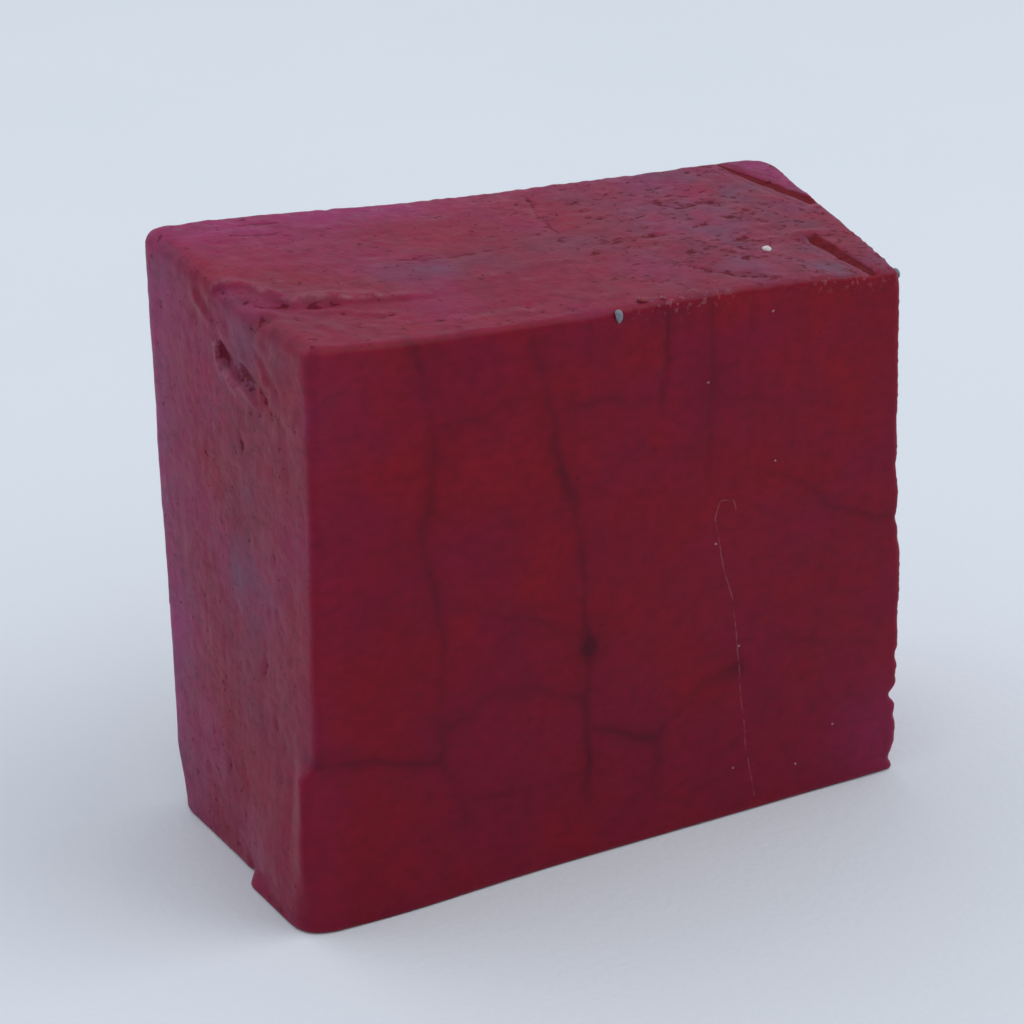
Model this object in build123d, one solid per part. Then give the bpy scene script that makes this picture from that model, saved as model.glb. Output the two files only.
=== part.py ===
from build123d import *
import os
from math import radians, tan

# A bar of detailing clay: one solid block, cut to size with a wire and stood on its long edge,
# with the grit, crumbs and dust that it has picked up pressed into its skin.
# Millimetres. X runs along the two large faces, Y from the front face to the back one, Z up.
# The origin is the middle of the flat base that the bar stands on.

# --- the block -----------------------------------------------------------------------------
bar_width = 55.0            # X, along the large faces
bar_depth = 26.0            # Y, front face to back face
bar_height = 48.7           # Z, base to the middle of the top

top_fall_right = 2.5        # how far the top drops from the left end to the right end
top_fall_front = 2.2        # how far the top drops from the back to the front

# Wire cuts are never quite square: how far each corner strays from the plain block
base_front_right_out = 0.75     # to the right
base_front_right_in = 0.9       # backwards
base_back_right_out = 2.2       # to the right
top_front_right_in = 1.2        # to the left
top_back_right_out = 2.4        # to the right
top_back_left_out = 0.4         # to the left
top_back_left_behind = 1.3      # backwards

blunt_upright_radius = 3.0  # the upright edge behind on the right
soft_edge_radius = 1.8      # edges that fingers have rubbed round
worn_edge_radius = 1.0      # edges of the top behind and on the right
crisp_edge_radius = 0.5     # edges of the large front face
base_edge_radius = 0.4      # edges around the base, always sharper than the uprights they meet
base_edge_share = 0.8       # at most this share of the crisp edges' radius

# --- the toe: a swelling at the foot of the front left corner ---------------------------------
toe_out = 1.5               # how far it stands out from the left end
toe_length = 11.0           # along the left end, from the front face
toe_height = 13.0           # at the front face
toe_tail_height = 3.5       # where it ends, behind
toe_slope = 50.0            # degrees by which its flanks lean back
toe_root = 3.0              # how far it reaches into the block

# --- two grooves scored in the top, beside the right end --------------------------------------
groove_width = 1.3
groove_depth = 0.7
groove_wall_share = 0.75    # the steep wall is on the right, so the valley lies towards it
back_groove_inset = 5.4     # from the right end, at the back face
back_groove_run = 11.5      # how far it comes forward from the back face
back_groove_slant = 3.2     # how far it drifts to the right over that run
front_groove_inset = 2.9    # from the right end, at the front face
front_groove_run = 8.0      # how far it goes back from the front face
front_groove_slant = 0.5    # how far it drifts to the left over that run

# --- what is pressed into the clay ------------------------------------------------------------
# Distances along the bar are from the left end, distances across it from the front face.
white_grit_size = (0.95, 0.75, 0.65)
white_grit_along = 45.1
white_grit_across = 6.75
white_grit_proud = 0.15     # height of its middle above the skin
white_grit_turn = 20        # degrees about the upright
white_grit_tilt = 12        # degrees that it is tipped

clear_grit_size = (0.8, 0.6, 1.1)
clear_grit_along = 26.9
clear_grit_below_top = 0.7
clear_grit_proud = 0.1
clear_grit_turn = 15
clear_grit_tilt = 8

corner_grit_size = (0.8, 0.6, 0.9)
corner_grit_across = 1.3
corner_grit_below_top = 0.75
corner_grit_proud = 0.1
corner_grit_turn = 30
corner_grit_tilt = 20

buried_grit_size = (1.5, 1.0, 1.4)
buried_grit_along = 24.8
buried_grit_height = 19.3
buried_grit_cover = 0.7     # clay between it and the front face

grain_edge_share = 0.22     # how much of a grain's shortest side each broken edge takes off

# Crumbs of the same clay on the top: along, across, longest side, turn in degrees
crumbs = [
    (29.6, 0.9, 0.9, 20), (31.4, 0.8, 0.7, 65), (34.3, 0.9, 1.0, 110), (36.6, 7.2, 0.6, 15),
    (44.0, 1.0, 0.8, 80), (46.9, 0.8, 0.7, 35), (49.4, 1.1, 0.9, 150), (38.2, 14.5, 0.7, 55),
]
crumb_width_share = 0.7
crumb_height_share = 0.6

# Specks of pale dust on the front face: along, height above the base
front_specks = [
    (41.3, 45.0), (42.2, 32.0), (39.4, 16.0), (49.5, 6.2),
    (39.3, 4.6), (45.8, 3.3), (35.4, 40.0), (36.7, 25.8),
]
# and on the left end: across, height above the base
left_specks = [(7.2, 5.1), (14.4, 27.0)]
speck_size = (0.36, 0.30, 0.24)

left = -bar_width / 2
right = bar_width / 2
front = -bar_depth / 2
back = bar_depth / 2


def top_height(x, y):
    """Height of the sloping top above the base, at a place on the bar."""
    return bar_height - top_fall_right * x / bar_width + top_fall_front * y / bar_depth


def corners():
    """The block's eight corners by name, before any edge is rounded."""
    base = {
        "front_left": (left, front),
        "front_right": (right + base_front_right_out, front + base_front_right_in),
        "back_right": (right + base_back_right_out, back),
        "back_left": (left, back),
    }
    top = {
        "front_left": (left, front),
        "front_right": (right - top_front_right_in, front),
        "back_right": (right + top_back_right_out, back),
        "back_left": (left - top_back_left_out, back + top_back_left_behind),
    }
    named = {"base_" + name: Vector(x, y, 0) for name, (x, y) in base.items()}
    named.update({"top_" + name: Vector(x, y, top_height(x, y)) for name, (x, y) in top.items()})
    return named


def side_point(start, end, distance, height):
    """A point of the upright face between two uprights: so far from the first, so far up."""
    at = corners()
    base_line = at["base_" + end] - at["base_" + start]
    top_line = at["top_" + end] - at["top_" + start]
    base = at["base_" + start] + base_line.normalized() * distance
    top = at["top_" + start] + top_line.normalized() * distance
    return base + (top - base) * (height / top.Z)


def cut_block():
    """The block as the wire leaves it: flat base, sloping top, corners a little off square."""
    at = corners()
    order = ["front_left", "front_right", "back_right", "back_left"]
    base = make_face(Polyline(*[at["base_" + name] for name in order], close=True))
    top = make_face(Polyline(*[at["top_" + name] for name in order], close=True))
    return loft([base, top], ruled=True)


def edges_between(solid, pairs):
    """The solid's edges that lie nearest the middles of the named pairs of corners."""
    at = corners()
    middles = [(at[one] + at[other]) / 2 for one, other in pairs]
    return [min(solid.edges(), key=lambda edge: (edge.center() - middle).length) for middle in middles]


def handled_block():
    """The cut block with its edges rounded by handling, the most at the upper left."""
    block = cut_block()
    blunt = [("top_back_right", "base_back_right")]
    worn = [("top_back_left", "top_back_right"), ("top_front_right", "top_back_right")]
    soft = [("top_front_left", "top_back_left"), ("top_back_left", "base_back_left")]
    crisp = [
        ("top_front_left", "top_front_right"),
        ("top_front_left", "base_front_left"),
        ("top_front_right", "base_front_right"),
    ]
    base = [
        ("base_front_left", "base_front_right"),
        ("base_front_right", "base_back_right"),
        ("base_back_right", "base_back_left"),
        ("base_back_left", "base_front_left"),
    ]
    block = fillet(edges_between(block, blunt), blunt_upright_radius)
    block = fillet(edges_between(block, worn), worn_edge_radius)
    block = fillet(edges_between(block, soft), soft_edge_radius)
    block = fillet(edges_between(block, crisp), crisp_edge_radius)
    base_radius = min(base_edge_radius, crisp_edge_radius * base_edge_share)
    return fillet(edges_between(block, base), base_radius)


def toe():
    """The swelling that the wire left at the foot of the front left corner."""
    spill = toe_out * tan(radians(toe_slope))
    outline = Polyline(
        (front - spill, -spill), (front + toe_length, -spill),
        (front + toe_length, toe_tail_height), (front - spill, toe_height), close=True,
    )
    section = Plane.YZ.offset(left) * make_face(outline)
    bulge = extrude(section, -toe_out, taper=toe_slope) + extrude(section, toe_root)
    room = Box(bar_width, bar_depth, bar_height, align=(Align.CENTER, Align.CENTER, Align.MIN))
    return bulge & Pos(-toe_out, 0, 0) * room


def groove(start, end):
    """A V-shaped score along the top from its front end to its back end, to be cut away."""
    profile = Plane(origin=start, x_dir=(0, 0, 1), z_dir=end - start)   # x is up, y is to the right
    half = groove_width / 2
    valley = groove_width * (groove_wall_share - 0.5)
    section = Polyline(
        (groove_depth, -half), (0, -half), (-groove_depth, valley), (0, half),
        (groove_depth, half), close=True,
    )
    return extrude(profile * make_face(section), (end - start).length)


def top_point(x, y):
    """The point of the sloping top over a place on the bar."""
    return Vector(x, y, top_height(x, y))


def back_groove():
    """The long groove, from where it runs out at the right end to beyond the back face."""
    x = corners()["top_back_right"].X - back_groove_inset
    return groove(
        top_point(x + back_groove_slant, back - back_groove_run),
        top_point(x, back + top_back_left_out),
    )


def front_groove():
    """The short groove, from the front face to where it dies out in the top."""
    x = corners()["top_front_right"].X - front_groove_inset
    return groove(
        top_point(x, front - crisp_edge_radius),
        top_point(x - front_groove_slant, front + front_groove_run),
    )


def grain(size, turn=0.0, tilt=0.0):
    """A small broken grain about the origin: a block with all its edges knocked off."""
    block = Box(*size)
    faceted = chamfer(block.edges(), min(size) * grain_edge_share)
    return Rot(tilt, 0, turn) * faceted


def white_grit():
    """An opaque white grain, half sunk in the top."""
    place = top_point(left + white_grit_along, front + white_grit_across)
    shape = grain(white_grit_size, white_grit_turn, white_grit_tilt)
    return Pos(place + Vector(0, 0, white_grit_proud)) * shape


def clear_grit():
    """A clear grey splinter, hanging on the front face just under the top edge."""
    height = top_height(left + clear_grit_along, front) - clear_grit_below_top
    place = side_point("front_left", "front_right", clear_grit_along, height)
    shape = grain(clear_grit_size, clear_grit_turn, clear_grit_tilt)
    return Pos(place - Vector(0, clear_grit_proud, 0)) * shape


def corner_grit():
    """A grey grain caught on the right end, beside its front top corner."""
    height = corners()["top_front_right"].Z - corner_grit_below_top
    place = side_point("front_right", "back_right", corner_grit_across, height)
    shape = grain(corner_grit_size, corner_grit_turn, corner_grit_tilt)
    return Pos(place + Vector(corner_grit_proud, 0, 0)) * shape


def buried_grit():
    """A dark grain that the clay has swallowed, just under the front face."""
    place = side_point("front_left", "front_right", buried_grit_along, buried_grit_height)
    depth = buried_grit_cover + buried_grit_size[1] / 2
    return Pos(place + Vector(0, depth, 0)) * grain(buried_grit_size)


def clay_crumbs():
    """Crumbs of the same clay, rubbed off and stuck on the top, most along its front edge."""
    made = []
    for along, across, length, turn in crumbs:
        size = (length, length * crumb_width_share, length * crumb_height_share)
        made.append(Pos(top_point(left + along, front + across)) * grain(size, turn))
    return made


def dust_specks():
    """Specks of pale dust pressed into the front face and the left end."""
    wide, tall, deep = speck_size
    on_front = [side_point("front_left", "front_right", *place) for place in front_specks]
    on_left = [side_point("front_left", "back_left", *place) for place in left_specks]
    made = [Pos(point) * grain((wide, deep, tall)) for point in on_front]
    return made + [Pos(point) * grain((deep, wide, tall)) for point in on_left]


def clay_bar(pressed_in):
    """The bar itself, with a pocket that fits each thing pressed into it."""
    bar = handled_block() + toe()
    bar = bar - back_groove() - front_groove()
    for piece in pressed_in:
        bar = bar - piece
    return bar


nodes = {
    "white_grit": [white_grit()],
    "clear_grit": [clear_grit()],
    "corner_grit": [corner_grit()],
    "buried_grit": [buried_grit()],
    "clay_crumbs": clay_crumbs(),
    "dust_specks": dust_specks(),
}
nodes["clay_bar"] = [clay_bar([piece for group in nodes.values() for piece in group])]

os.makedirs("parts", exist_ok=True)
for name, solids in nodes.items():
    whole = solids[0] if len(solids) == 1 else Compound(children=solids)
    whole.label = name
    export_step(whole, f"parts/{name}.step")
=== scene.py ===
import math

import bmesh
import bpy
import numpy as np
from mathutils import Matrix, Vector, noise


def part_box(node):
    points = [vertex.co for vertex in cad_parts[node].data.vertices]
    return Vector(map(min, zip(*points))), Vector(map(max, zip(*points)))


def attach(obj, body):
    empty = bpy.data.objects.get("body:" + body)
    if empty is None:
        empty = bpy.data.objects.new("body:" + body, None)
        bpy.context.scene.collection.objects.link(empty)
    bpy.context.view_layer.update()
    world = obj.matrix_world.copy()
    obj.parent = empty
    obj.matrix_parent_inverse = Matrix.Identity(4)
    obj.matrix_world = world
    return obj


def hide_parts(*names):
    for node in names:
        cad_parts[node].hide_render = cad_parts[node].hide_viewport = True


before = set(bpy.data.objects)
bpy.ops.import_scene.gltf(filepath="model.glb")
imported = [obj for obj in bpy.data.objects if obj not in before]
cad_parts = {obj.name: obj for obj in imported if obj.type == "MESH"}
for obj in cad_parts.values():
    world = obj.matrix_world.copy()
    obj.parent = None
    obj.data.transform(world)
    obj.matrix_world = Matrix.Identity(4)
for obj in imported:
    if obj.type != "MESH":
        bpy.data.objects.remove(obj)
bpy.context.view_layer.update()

# --- Clay bar --------------------------------------------------------------------------------
# One solid block of soft resin clay, cut to size with a wire and rubbed by hand since. Its top
# was smeared towards the front left corner, its right end was scored, and its foot swelled out.
# Everything in this section is in millimetres until the mesh is scaled at the end.
MM = 0.001
bar_low, bar_high = (np.array(corner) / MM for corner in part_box("clay_bar"))
toe_out = 1.5                       # how far the toe stands out past the left end
left = bar_low[0] + toe_out
front = bar_low[1]
back = -front
middle_height = 48.7                # mean height of the top
half_size = np.array([-left, back, middle_height / 2])
foot_out = 0.48                     # how far the foot of the front may stand out past its face
skin_cell = 0.32                    # side of one cell of the skin
rim_cells = 2.25                    # cells between the rim of the base and the one face in its middle

# The upright edges, (x, y) at the base and at the top
uprights = {
    ("left", "front"): ((left + 0.3, front - 0.1), (left + 0.6, front)),
    ("right", "front"): ((29.15, front + 0.9), (26.2, front)),
    ("right", "back"): ((29.8, back), (30.0, back)),
    ("left", "back"): ((left - 0.6, back + 0.35), (left - 1.3, bar_high[1] - 0.05)),
}
# The height of the top along its front edge and along its back edge, as (x, z)
front_top_line = [(-27.5, 48.75), (-19.4, 47.95), (-13, 47.65), (-5, 47.4), (6.8, 47.4), (13, 47.35),
                  (18.5, 47.1), (24, 46.6), (27, 46.4)]
back_top_line = [(-29, 51.0), (-21, 50.85), (-15, 50.35), (-9, 50.05), (-2.7, 49.8), (4, 49.55),
                 (17.8, 49.2), (25, 49.2), (30, 49.1)]
# The radius of the edges round the top and round the base
edge_radius = {
    ("front", "top"): 0.5, ("right", "top"): 0.6, ("back", "top"): 0.9, ("left", "top"): 1.4,
    ("front", "base"): 0.35, ("right", "base"): 0.4, ("back", "base"): 0.5, ("left", "base"): 0.4,
}
# The radius of each upright edge at the base, above the foot, and at the top
upright_radius = {
    ("left", "front"): (2.3, 0.6, 1.0), ("right", "front"): (0.8, 0.4, 0.5),
    ("left", "back"): (3.2, 1.8, 1.7), ("right", "back"): (3.3, 3.2, 3.2),
}
# The axis that each side stands across, and the way it faces along it
side_axis = {
    "left": (0, -1), "right": (0, 1), "front": (1, -1), "back": (1, 1), "base": (2, -1), "top": (2, 1),
}


def cut_skin():
    """A closed block of -1..1 with an even net of cells, and one large face in the middle of its base."""
    block = bmesh.new()
    bmesh.ops.create_cube(block, size=2)
    cells = [round(2 * half / skin_cell) for half in half_size]
    for axis, count in enumerate(cells):
        along = [edge for edge in block.edges
                 if abs(edge.verts[0].co[axis] - edge.verts[1].co[axis]) > 1]
        bmesh.ops.subdivide_edges(block, edges=along, cuts=count - 1)
    reach_x, reach_y = (1 - 2 * rim_cells / count for count in cells[:2])
    inner = [face for face in block.faces
             if all(v.co.z < -0.999 and abs(v.co.x) < reach_x and abs(v.co.y) < reach_y for v in face.verts)]
    bmesh.ops.dissolve_faces(block, faces=inner)
    mesh = bpy.data.meshes.new("clay_bar_skin")
    block.to_mesh(mesh)
    block.free()
    return mesh


def ramp(value, start, end):
    """0 before start, 1 after end, and a soft S between them."""
    share = np.clip((value - start) / (end - start), 0, 1)
    return share * share * (3 - 2 * share)


def bell(value, width):
    """1 at 0, falling softly to nearly nothing at twice the width."""
    return np.exp(-(value / width) ** 2)


def soft_line(where, points):
    """A line drawn through the points, with its corners eased by a short running mean."""
    reach = np.linspace(-2.5, 2.5, 9)
    heights = [np.interp(where + step, *zip(*points)) for step in reach]
    return np.mean(heights, axis=0)


def lumps(places, size, seed, stretch=(1, 1, 1)):
    """Soft random heights of about -1..1, with lumps of the given size, drawn out by stretch."""
    scaled = places / (size * np.array(stretch)) + 37.7 * seed
    return np.array([noise.noise(place) for place in scaled.tolist()])


def line_distance(places, path):
    """How far each flat place is from a path, which side it is on (left is positive), and how far along."""
    best = np.full(len(places), 1e9)
    side = np.zeros(len(places))
    along = np.zeros(len(places))
    passed = 0.0
    for start, end in zip(path, path[1:]):
        start, end = np.array(start, float), np.array(end, float)
        run = end - start
        length = np.hypot(*run)
        share = np.clip((places - start) @ run / length ** 2, 0, 1)
        gap = places - start - share[:, None] * run
        away = np.hypot(gap[:, 0], gap[:, 1])
        near = away < best
        best[near] = away[near]
        side[near] = np.sign(run[0] * gap[near, 1] - run[1] * gap[near, 0])
        along[near] = passed + share[near] * length
        passed += length
    return best, side, along / passed


def dents(places, marks):
    """The depth of a set of oval dents, each (a, b, half length, half width, turn in degrees, depth)."""
    total = np.zeros(len(places))
    for a, b, length, width, turn, depth in marks:
        close = np.abs(places - (a, b)).max(axis=1) < 3 * max(length, width)
        gap = places[close] - (a, b)
        cos, sin = math.cos(math.radians(turn)), math.sin(math.radians(turn))
        lengthways = (gap[:, 0] * cos + gap[:, 1] * sin) / length
        sideways = (gap[:, 1] * cos - gap[:, 0] * sin) / width
        total[close] += depth * np.exp(-np.hypot(lengthways, sideways) ** 3)
    return total


def rounded(places):
    """Rounds the edges of the plain block: those of the top and the base first, then the upright ones."""
    gap = half_size - np.abs(places)
    to_side = {name: half_size[axis] - sign * places[:, axis] for name, (axis, sign) in side_axis.items()}

    # each place takes its radius from all these edges, and most from the nearest one
    soften, fall = 0.5, -1.2
    weight = {(one, other): (to_side[one] ** 2 + to_side[other] ** 2 + soften) ** fall
              for one, other in edge_radius}
    radius = sum(weight[pair] * r for pair, r in edge_radius.items()) / sum(weight.values())
    inset = np.clip(radius[:, None] - gap, 0, None)
    level = inset[:, :2].max(axis=1)
    squeeze = np.where((level > 0) & (inset[:, 2] > 0), radius / np.hypot(level, inset[:, 2]), 1)
    gap = np.where(inset > 0, radius[:, None] - inset * squeeze[:, None], gap)
    above_foot = ramp(to_side["base"], 1, 6)
    near_top = 1 - ramp(to_side["top"], 1, 7)
    for (end, face), (base, middle, top) in upright_radius.items():
        signs = (side_axis[end][1], side_axis[face][1])
        radius = base + (middle - base) * above_foot + (top - middle) * near_top
        inset = np.clip(radius[:, None] - gap[:, :2], 0, None)
        corner = (inset > 0).all(axis=1) & (places[:, :2] * signs > 0).all(axis=1)
        squeeze = inset.max(axis=1) / np.maximum(np.hypot(*inset.T), 1e-9)
        gap[corner, :2] = (radius[:, None] - inset * squeeze[:, None])[corner]
    return np.sign(places) * (half_size - gap)


def leaned(places):
    """Moves the plain block's places to the block as the wire cut it, a little off square."""
    share = places / half_size / 2 + 0.5
    climb = (share[:, 2] + ramp(share[:, 2], 0, 1)) / 2
    flat = np.zeros((len(places), 2))
    for (end, face), (base, top) in uprights.items():
        along = share[:, 0] if end == "right" else 1 - share[:, 0]
        across = share[:, 1] if face == "back" else 1 - share[:, 1]
        corner = np.array(base) + (np.array(top) - np.array(base)) * climb[:, None]
        flat += (along * across)[:, None] * corner
    front_height = soft_line(flat[:, 0], front_top_line)
    back_height = soft_line(flat[:, 0], back_top_line)
    height = front_height + (back_height - front_height) * share[:, 1]
    return np.column_stack([flat, height * share[:, 2]])


# The smeared lip that crosses the top's left end, as (x, y), and the folds below it with their height
smear_lip = [(-28.2, 2.6), (-27.1, 1.1), (-25.6, 0.1), (-25.0, -1.1), (-24.6, -2.8), (-23.7, -3.6),
             (-22.4, -3.5), (-21.0, -3.5), (-19.2, -4.1), (-15.2, -4.9), (-11, -5.2)]
top_folds = [
    ([(-25.0, -4.6), (-23.2, -5.6), (-20.6, -6.2), (-18.6, -7.6), (-16.2, -8.2)], 0.16),
    ([(-27.6, -3.4), (-26.4, -5.6), (-24.8, -5.9), (-24.1, -7.5), (-23.4, -9.4), (-23.0, -11.1)], 0.18),
]
# The folds on the left end just under the top, as (y, z), and how far they stand out
left_folds = [
    ([(5.5, 48.8), (4.0, 47.4), (2.6, 46.8), (0.9, 46.7)], 0.16),
    ([(2.2, 45.6), (1.1, 44.3), (0.1, 43.2), (-1.3, 42.7), (-3.8, 42.4), (-5.6, 41.6)], 0.4),
    ([(-3.2, 45.9), (-5.6, 45.2), (-7.2, 44.0), (-8.6, 42.4)], 0.14),
]
# Two grooves scored in the top beside the right end, from behind to the front, as (x, y)
back_score = [(24.3, 13.2), (25.6, 8.6), (26.8, 4.6), (27.7, 1.4)]
front_score = [(22.6, -4.6), (23.0, -8.0), (23.5, -12.6)]
# Dents: place, half length, half width, turn in degrees and depth
top_marks = [
    (-17.3, -7.8, 0.6, 0.32, 10, 0.3), (-6.8, -9.8, 0.5, 0.3, 60, 0.2), (-22.3, -4.5, 0.9, 0.4, 5, 0.3),
    (-24.5, -3.9, 0.9, 0.4, 15, 0.3), (-27.0, -2.1, 0.7, 0.35, -60, 0.3), (-26.3, -3.4, 0.6, 0.3, -60, 0.25),
    (19.7, 7.1, 0.4, 0.3, 0, 0.3), (21.8, 7.0, 0.45, 0.3, 20, 0.3), (21.6, 5.0, 0.35, 0.25, 0, 0.25),
    (15.4, 0.3, 1.1, 0.35, 20, 0.3), (16.8, -3.7, 1.0, 0.3, 15, 0.3), (19.1, 3.8, 0.5, 0.3, -20, 0.25),
    (21.0, 11.3, 0.6, 0.25, 0, 0.2), (14.7, -7.4, 0.5, 0.25, 10, 0.25), (18.3, -8.5, 0.4, 0.25, 0, 0.2),
    (10.5, -0.5, 0.7, 0.3, 15, 0.3), (11.2, -4.7, 0.6, 0.25, 5, 0.25), (10.9, -7.3, 0.45, 0.25, 0, 0.2),
    (7.1, -0.6, 0.5, 0.25, 0, 0.2), (3.9, -2.1, 0.6, 0.25, 10, 0.2), (2.7, 1.5, 0.5, 0.3, 25, 0.25),
    (8.3, 4.3, 0.5, 0.25, 0, 0.25), (7.8, 6.3, 0.8, 0.25, 10, 0.2), (8.3, 8.6, 0.4, 0.25, 0, 0.2),
    (2.0, 7.7, 0.4, 0.25, 0, 0.2), (-3.9, 4.7, 0.4, 0.22, 0, 0.15), (11.7, 3.9, 0.7, 0.25, 20, 0.25),
    (16.4, 9.1, 0.8, 0.22, 8, 0.2), (18.6, 0.8, 0.5, 0.25, 0, 0.25), (21.2, 2.2, 0.6, 0.25, 15, 0.25),
    (21.1, -0.7, 0.45, 0.25, 0, 0.2), (24.0, -1.6, 0.5, 0.3, -30, 0.2), (23.5, 2.2, 0.4, 0.25, 0, 0.2),
]
# Creases, each a path, its half width and its depth
top_creases = [
    ([(5.1, 11.6), (4.3, 9.2), (3.6, 6.5), (3.2, 2.5)], 0.28, 0.14),
    ([(13.8, 6.5), (15.6, 4.3), (18.4, 4.5), (20.2, 4.0)], 0.25, 0.2),
    ([(8.9, -6.9), (10.4, -8.6), (12.0, -10.6), (15.2, -12.0)], 0.3, 0.25),
    ([(-23.0, 9.8), (-20.6, 9.2), (-18.2, 9.4)], 0.4, 0.12), ([(-21.5, 11.6), (-17.5, 11.3)], 0.35, 0.12),
    ([(-14.0, 2.0), (-8.0, 1.0), (-1.0, 1.4)], 0.3, 0.06), ([(6.8, -11.5), (6.2, -9.0)], 0.25, 0.1),
]
left_marks = [
    (-2.2, 38.0, 0.3, 0.8, -12, 0.3), (10.2, 28.1, 0.25, 0.3, 0, 0.18), (-2.1, 19.1, 0.26, 0.28, 0, 0.25),
    (-5.0, 20.2, 0.2, 1.1, 12, 0.3), (5.7, 6.5, 0.55, 0.35, 0, 0.2), (-4.5, 10.9, 0.35, 0.25, 0, 0.15),
    (-2.1, 8.1, 0.3, 0.2, 0, 0.15), (12.2, 18.2, 0.4, 0.3, 30, 0.25), (-6.9, 29.9, 0.2, 0.9, 25, 0.22),
    (0.0, 44.6, 0.9, 0.4, 20, 0.3), (-3.2, 43.9, 1.6, 0.4, 12, 0.4), (-6.2, 42.9, 1.0, 0.35, 40, 0.3),
    (3.6, 36.2, 0.25, 0.4, 0, 0.18), (9.8, 40.6, 0.22, 0.45, 10, 0.15), (4.6, 46.2, 0.5, 0.9, 35, 0.2),
]
front_creases = [
    ([(4.0, 45.6), (3.9, 42.4), (3.6, 39.3)], 0.3, 0.12),
    ([(8.0, 46.9), (8.2, 38.5), (8.4, 30.0)], 0.3, 0.05),
    ([(5.6, 46.8), (5.9, 43.5)], 0.3, 0.05), ([(11.6, 46.9), (12.0, 43.0)], 0.35, 0.05),
]
# The nicks in the upright edge in front on the right: (height, depth, half height)
edge_nicks = [(46.4, 0.3, 0.9), (33.0, 0.12, 1.5), (29.0, 0.25, 1.5), (24.2, 0.36, 0.9), (22.4, 0.2, 0.7),
              (15.0, 0.15, 2.0), (11.2, 0.36, 0.8), (9.4, 0.2, 0.7), (7.4, 0.85, 0.75), (5.4, 0.3, 0.7),
              (1.2, 0.5, 0.7)]
# Fissures closed by kneading, dark seen through the front: paths as (x, z), their width and darkness
fissures = [
    ([(-18.4, 48), (-17.4, 43.6), (-16.8, 41.5), (-16.8, 36.6), (-17.5, 32.6), (-17.1, 27.6),
      (-16.0, 24.8), (-16.0, 19.6), (-16.3, 15.4), (-16.3, 12.3), (-15.0, 9.7), (-14.1, 6.8)], 0.75, 0.8),
    ([(-8.6, 47.5), (-7.0, 42.1), (-6.1, 38.6), (-5.6, 35.2), (-4.3, 32.4), (-3.5, 28.9), (-3.4, 23.7),
      (-2.7, 19.3), (-2.8, 14.7), (-2.7, 9.3), (-2.5, 5.5)], 0.7, 1.0),
    ([(-27.5, 15.0), (-24.4, 14.4), (-21.6, 13.9), (-16.3, 12.3)], 0.6, 1.0),
    ([(-16.3, 15.4), (-13.6, 16.0), (-12.7, 17.5), (-9.1, 17.1), (-3.1, 14.8)], 0.65, 1.0),
    ([(-2.6, 12.0), (2.2, 10.3), (4.1, 9.4), (7.9, 13.1), (11.8, 14.0)], 0.65, 0.9),
    ([(4.1, 9.9), (3.8, 5.8), (4.3, 3.8)], 0.55, 0.6),
    ([(-17.0, 40.7), (-12.7, 41.1), (-7.5, 41.8)], 0.5, 0.7),
    ([(-5.7, 40.2), (-3.0, 40.1), (-1.2, 40.6), (0.6, 39.5), (2.4, 39.5)], 0.6, 0.5),
    ([(4.0, 46.6), (3.9, 42.2), (3.5, 39.0)], 0.45, 0.75),
    ([(7.9, 47.5), (8.1, 38.0), (8.5, 29.9)], 0.6, 0.5),
    ([(13.1, 31.6), (17.0, 29.9), (22.2, 25.8), (26.7, 24.4)], 0.55, 0.7),
    ([(15.7, 15.8), (20.5, 14.6), (26.1, 13.0)], 0.5, 0.45), ([(23.2, 8.5), (27.2, 8.0)], 0.5, 0.5),
    ([(-14.5, 25.3), (-8.2, 23.0), (-3.2, 20.1)], 0.55, 0.7),
    ([(-10.9, 24.9), (-5.5, 23.7), (-3.4, 22.8)], 0.5, 0.6),
    ([(-16.4, 6.5), (-12.7, 8.2), (-7.2, 7.7), (-2.5, 8.3)], 0.55, 0.55),
    ([(-16.9, 32.5), (-13.6, 34.3), (-10.9, 32.5), (-9.2, 30.9)], 0.5, 0.35),
    ([(7.1, 39.1), (12.8, 37.7), (19.7, 36.0)], 0.5, 0.4), ([(-27, 7.6), (-22, 6.8)], 0.4, 0.35),
]
# A pale scratch down the front and a dark bruise in its middle, as (x, z)
pale_scratch = [(11.2, 27.9), (10.8, 29.3), (9.5, 29.5), (9.0, 28.0), (10.2, 22.9), (11.1, 20.5),
                (11.7, 16.7), (12.4, 11.1), (13.1, 6.2), (14.3, 1.1)]
bruise = (-2.6, 19.3)
# Patches of grey film, dust that is partly painted sheen: side, middle, half width and half height, strength
dust_and_sheen_patches = [("top", (-9, -0.6), (8, 2.6), 1), ("top", (6, 0.5), (6, 2.4), 0.8),
                ("left", (-1.5, 28), (3.5, 5), 1)]
# Fine pits strewn about each side: how many, and the stretch of the side that they cover
strewn_pits = {
    "top": (70, (-20, 27), (-12, 12.5)), "left": (45, (-12, 13), (2, 47)),
    "right": (70, (-11, 11), (2, 45)), "back": (110, (-26, 27), (2, 47)),
}
gap_limit = 3.0                     # beyond this the distance from a scratch no longer matters


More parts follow.
